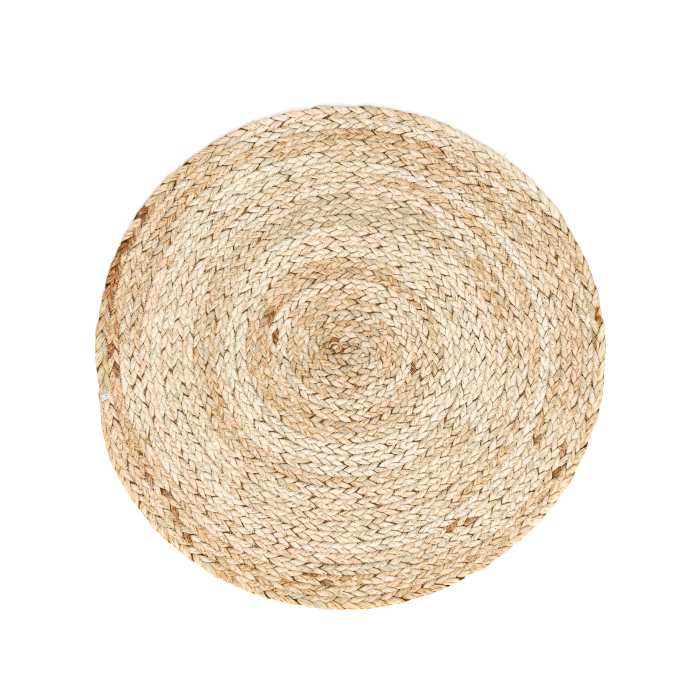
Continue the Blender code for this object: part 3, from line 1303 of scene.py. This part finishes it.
@dataclass
class LooseHusk:
    """Loose ends of husk: a few long wisps, and small slivers caught along the seams."""

    plait: Plait
    slivers: int = 1700
    sliver_mm: tuple[float, float] = (1.5, 3.8)
    sliver_half_width: float = 0.36 * MM
    sliver_half_height: float = 0.20 * MM
    pale_share: float = 0.50
    pale_tone: tuple[float, float] = (0.0, 0.10)
    brown_tone: tuple[float, float] = (0.60, 1.0)
    blush_spread: float = 0.4
    spread: float = 1.2 * MM         # typical distance from the seam
    heading_spread: float = 38.0     # typical degrees away from the plait's heading
    sliver_sizes: tuple[float, float] = (0.6, 1.3)
    sliver_tip: float = 0.35         # width of a sliver's ends, as a share of its middle
    wisp_taper: float = 0.7
    wisp_flatness: float = 0.7       # height of a wisp as a share of its width
    # Brown shade painted along the wisps' sides
    wisp_side_shade: float = 0.9
    first_turn: float = -0.6
    stations: int = 9
    around: int = 6
    seed: int = 23
    pieces: list[bpy.types.Object] = field(default_factory=list)

    def build(self, tree: BVHTree) -> None:
        """Build the wisps and the slivers.

        Args:
            tree: the plait's faces, which the slivers lie on.
        """
        self.pieces.append(self.wisps())
        self.pieces.append(self.sliver_piece(tree))

    def wisps(self) -> bpy.types.Object:
        """Bend each wisp along its path.

        Returns:
            All the wisps as one object.
        """
        share = np.linspace(0.0, 1.0, self.stations)
        centre = np.empty((len(WISPS), self.stations, 3))
        radius = np.empty((len(WISPS), self.stations))
        for row, wisp in enumerate(WISPS):
            heading = np.radians(wisp.heading + wisp.bend * share)
            step = wisp.length_mm * MM / (self.stations - 1)
            forward = np.stack([np.cos(heading), np.sin(heading)], axis=-1) * step
            start = np.array(wisp.start_mm) * MM
            centre[row, :, :2] = np.cumsum(forward, axis=0) - forward[0] + start[:2]
            centre[row, :, 2] = start[2]
            radius[row] = wisp.radius_mm * MM * np.sqrt(1.0 - self.wisp_taper * share**2)
        corners, faces = tubes(centre, radius, self.wisp_flatness * radius, self.around)
        husks = [wisp.husk for wisp in WISPS]
        values = self.leaf_values(
            np.array([husk.tone for husk in husks]),
            np.array([husk.blush for husk in husks]),
            np.array([wisp.length_mm for wisp in WISPS]),
            self.stations,
            self.around,
            self.wisp_side_shade,
        )
        return mesh_piece("loose_wisps", corners, faces, values, self.plait.material)

    def sliver_piece(self, tree: BVHTree) -> bpy.types.Object:
        """Scatter small slivers of husk along the seams.

        Args:
            tree: the plait's faces.

        Returns:
            All the slivers as one object.
        """
        coil = self.plait.coil
        route = coil.route()
        rng = np.random.default_rng(self.seed)
        first, last = route.along_at(np.array([self.first_turn, coil.turns - 1.0]))
        count = self.slivers
        along = rng.uniform(first, last, count)
        across = 0.5 * coil.pitch + self.spread * rng.normal(0.0, 1.0, count)
        heading = np.radians(rng.normal(0.0, self.heading_spread, count))
        length = rng.uniform(*self.sliver_mm, count) * MM
        ends = np.array([-0.5, 0.0, 0.5])
        run = along[:, None] + ends * (length * np.cos(heading))[:, None]
        out = across[:, None] + ends * (length * np.sin(heading))[:, None]
        centre = route.place(run, out, np.zeros_like(run))
        for row in range(count):
            for column in range(len(ends)):
                centre[row, column, 2] = surface_height(tree, centre[row, column], 1.0)
        centre[:, 1, 2] = np.maximum(centre[:, 1, 2], 0.5 * (centre[:, 0, 2] + centre[:, 2, 2]))
        taper = np.array([self.sliver_tip, 1.0, self.sliver_tip])
        size = taper * rng.uniform(*self.sliver_sizes, count)[:, None]
        around = 4
        corners, faces = tubes(
            centre, self.sliver_half_width * size, self.sliver_half_height * size, around
        )
        pale = rng.uniform(0.0, 1.0, count) < self.pale_share
        pale_tone = rng.uniform(*self.pale_tone, count)
        tone = np.where(pale, pale_tone, rng.uniform(*self.brown_tone, count))
        blush = rng.normal(0.0, self.blush_spread, count)
        values = self.leaf_values(tone, blush, length / MM, len(ends), around, 0.0)
        return mesh_piece("husk_slivers", corners, faces, values, self.plait.material)

    def leaf_values(
        self,
        tone: np.ndarray,
        blush: np.ndarray,
        length_mm: np.ndarray,
        stations: int,
        around: int,
        side_shade: float,
    ) -> dict[str, np.ndarray]:
        """Give every vertex of many tubes the values that the husk's material reads.

        Args:
            tone: each tube's tone.
            blush: each tube's blush.
            length_mm: each tube's length.
            stations: stations of a tube.
            around: vertices of a section.
            side_shade: how much brown shade is painted along the tubes' sides.

        Returns:
            The named values, one for each vertex.
        """
        spread = np.ones((len(tone), stations, around))
        share = np.linspace(0.0, 1.0, stations)[None, :, None]
        place = np.cos(2.0 * math.pi * np.arange(around) / around + math.pi / 2.0)[None, None, :]
        number = np.arange(len(tone))[:, None, None]
        return {
            "tone": (tone[:, None, None] * spread).ravel(),
            "blush": (blush[:, None, None] * spread).ravel(),
            # Painted shade along the tubes' sides
            "depth": (side_shade * np.abs(place) ** 4 * spread).ravel(),
            "grain_across": ((place + 5.0 * number) * spread).ravel(),
            "grain_along": ((length_mm[:, None, None] * share + 9.0 * number) * spread).ravel(),
        }


@dataclass
class TailBinding:
    """Turns of white thread that bind the tip of the tail to the rim."""

    finish: PlainFinish
    middle_mm: tuple[float, float] = (-183.9, -29.1)
    heading: float = 12.0            # degrees from +X of each turn of thread
    half_length: float = 2.9 * MM
    spacing: float = 0.75 * MM
    wraps: int = 6
    thickness: float = 0.75 * MM
    stations: int = 9
    crown: float = 0.45 * MM         # height of each turn of thread over the husk
    drop: float = 1.6 * MM           # how far its ends drop
    lean: float = 0.4 * MM           # how far its ends may lean to either side
    reach_shares: tuple[float, float] = (0.85, 1.0)
    around: int = 6
    seed: int = 31
    piece: bpy.types.Object | None = None

    def build(self, tree: BVHTree) -> None:
        """Lay the turns of thread side by side over the tail.

        Args:
            tree: the plait's faces.
        """
        rng = np.random.default_rng(self.seed)
        share = np.linspace(-1.0, 1.0, self.stations)
        centre = np.empty((self.wraps, self.stations, 3))
        middle = np.array(self.middle_mm) * MM
        heading = math.radians(self.heading)
        forward = np.array([math.cos(heading), math.sin(heading)])
        sideways = np.array([-forward[1], forward[0]])
        for wrap in range(self.wraps):
            lean = rng.uniform(-self.lean, self.lean)
            shift = (wrap - 0.5 * (self.wraps - 1)) * self.spacing + lean * share
            reach = self.half_length * rng.uniform(*self.reach_shares)
            plan = middle + share[:, None] * reach * forward + shift[:, None] * sideways
            centre[wrap, :, :2] = plan
            top = max(surface_height(tree, place, 1.0) for place in plan)
            centre[wrap, :, 2] = top + self.crown - self.drop * share**2
        radius = np.full((self.wraps, self.stations), 0.5 * self.thickness)
        corners, faces = tubes(centre, radius, radius, self.around)
        self.piece = mesh_piece("tail_binding", corners, faces, {}, self.finish.material())


def surface_height(tree: BVHTree, place: np.ndarray, sign: float) -> float:
    """Find the plait's surface over or under a place in plan.

    Args:
        tree: the plait's faces.
        place: x and y, and any z is left unused.
        sign: 1 for the upper surface, -1 for the lower.

    Returns:
        The surface's height, or the mat's middle height where there is none.
    """
    clear = 20.0 * MM
    start = Vector((place[0], place[1], sign * clear))
    hit = tree.ray_cast(start, Vector((0.0, 0.0, -sign)))[0]
    return MAT_MIDDLE if hit is None else hit.z


def surface_of(pieces: list[bpy.types.Object]) -> BVHTree:
    """Gather the pieces' faces into one tree for ray casts.

    Args:
        pieces: mesh objects.

    Returns:
        The tree of all their triangles.
    """
    corners: list[np.ndarray] = []
    triangles: list[np.ndarray] = []
    first = 0
    for piece in pieces:
        mesh = piece.data
        place = np.empty(len(mesh.vertices) * 3, np.float32)
        mesh.vertices.foreach_get("co", place)
        mesh.calc_loop_triangles()
        numbers = np.empty(len(mesh.loop_triangles) * 3, np.int32)
        mesh.loop_triangles.foreach_get("vertices", numbers)
        corners.append(place.reshape(-1, 3))
        triangles.append(numbers.reshape(-1, 3) + first)
        first += len(mesh.vertices)
    return BVHTree.FromPolygons(np.concatenate(corners).tolist(), np.concatenate(triangles).tolist())


# ---------------------------------------------------------------------------------------------
# Studio
# ---------------------------------------------------------------------------------------------


@dataclass
class Studio:
    """A plain pale floor, soft light from above, and a camera looking straight down."""

    view_width: float = 522.2 * MM
    aim: tuple[float, float] = (-0.65 * MM, 5.9 * MM)
    lens_mm: float = 85.0
    sensor_mm: float = 36.0
    floor_half: float = 4.0
    floor_gap: float = 0.05 * MM     # below the mat
    filter_width: float = 0.95
    sky_strength: float = 1.08
    key_power: float = 82.0
    key_size: float = 1.0
    key_place: tuple[float, float, float] = (0.2, -2.8, 2.8)

    def build(self) -> None:
        """Make the camera, the floor and the lights."""
        scene = bpy.context.scene
        scene.view_settings.view_transform = "Standard"
        scene.cycles.filter_width = self.filter_width
        scene.cycles.use_denoising = False   # smoothing would blur the thread and the husk's ribs
        camera_data = bpy.data.cameras.new("camera")
        camera_data.lens = self.lens_mm
        camera_data.sensor_width = self.sensor_mm
        camera = bpy.data.objects.new("camera", camera_data)
        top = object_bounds()[1][2]
        camera.location = (*self.aim, top + self.view_width * self.lens_mm / self.sensor_mm)
        scene.collection.objects.link(camera)
        scene.camera = camera

        half = self.floor_half
        sides = ((-half, -half), (half, -half), (half, half), (-half, half))
        corners = np.array([[x, y, 0.0] for x, y in sides])
        finish = PlainFinish("painted_board", "#FFFFFF", "#FDFDFD", 0.8, 2.0)
        floor = mesh_piece("floor", corners, [np.arange(4)[None, :]], {}, finish.material())
        floor.location.z = -self.floor_gap
        floor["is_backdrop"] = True

        world = bpy.data.worlds.new("studio")
        world.use_nodes = True
        sky = world.node_tree.nodes["Background"]
        sky.inputs["Color"].default_value = linear_colour("#FFFFFF")
        sky.inputs["Strength"].default_value = self.sky_strength
        scene.world = world
        light_data = bpy.data.lights.new("key", "AREA")
        light_data.energy = self.key_power
        light_data.size = self.key_size
        key = bpy.data.objects.new("key", light_data)
        key.location = self.key_place
        key.rotation_euler = (-Vector(self.key_place)).to_track_quat("-Z", "Y").to_euler()
        scene.collection.objects.link(key)


def main() -> None:
    """Build the mat and the studio, and declare every piece to the frame."""
    logging.basicConfig(level=logging.INFO, format="%(message)s")
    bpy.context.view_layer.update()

    studio = Studio()
    studio.build()
    coil = Coil()
    plait = Plait(coil, HuskFinish())
    plait.build()
    LOG.info("plait: %d pieces", len(plait.pieces))
    # The ground's brown is painted shade of the gaps between the strands
    ground = Ground(coil, PlainFinish("shaded_husk", "#A87436", "#805222", 0.9, 1.5))
    ground.build()
    LOG.info("ground: %s", ground.piece.name)
    sewing = Sewing(coil, PlainFinish("cotton_thread", "#F0E2C6", "#DFCBA4", 0.8, 0.3))
    tree = surface_of(plait.pieces)
    sewing.build(tree)
    LOG.info("sewing: %d pieces", len(sewing.pieces))
    loose = LooseHusk(plait)
    loose.build(tree)
    LOG.info("loose husk: %d pieces", len(loose.pieces))
    binding = TailBinding(PlainFinish("binding_thread", "#E2E2E2", "#C4C8CC", 0.7, 0.9))
    binding.build(tree)
    LOG.info("tail binding: %s", binding.piece.name)

    others = plait.pieces + sewing.pieces + loose.pieces + [binding.piece]
    for piece in [ground.piece, *others]:
        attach(piece, BODY)
        piece.data.calc_loop_triangles()
        LOG.info("%s: %d triangles", piece.name, len(piece.data.loop_triangles))
    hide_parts(MAT_NODE)


if __name__ == "__main__":
    main()
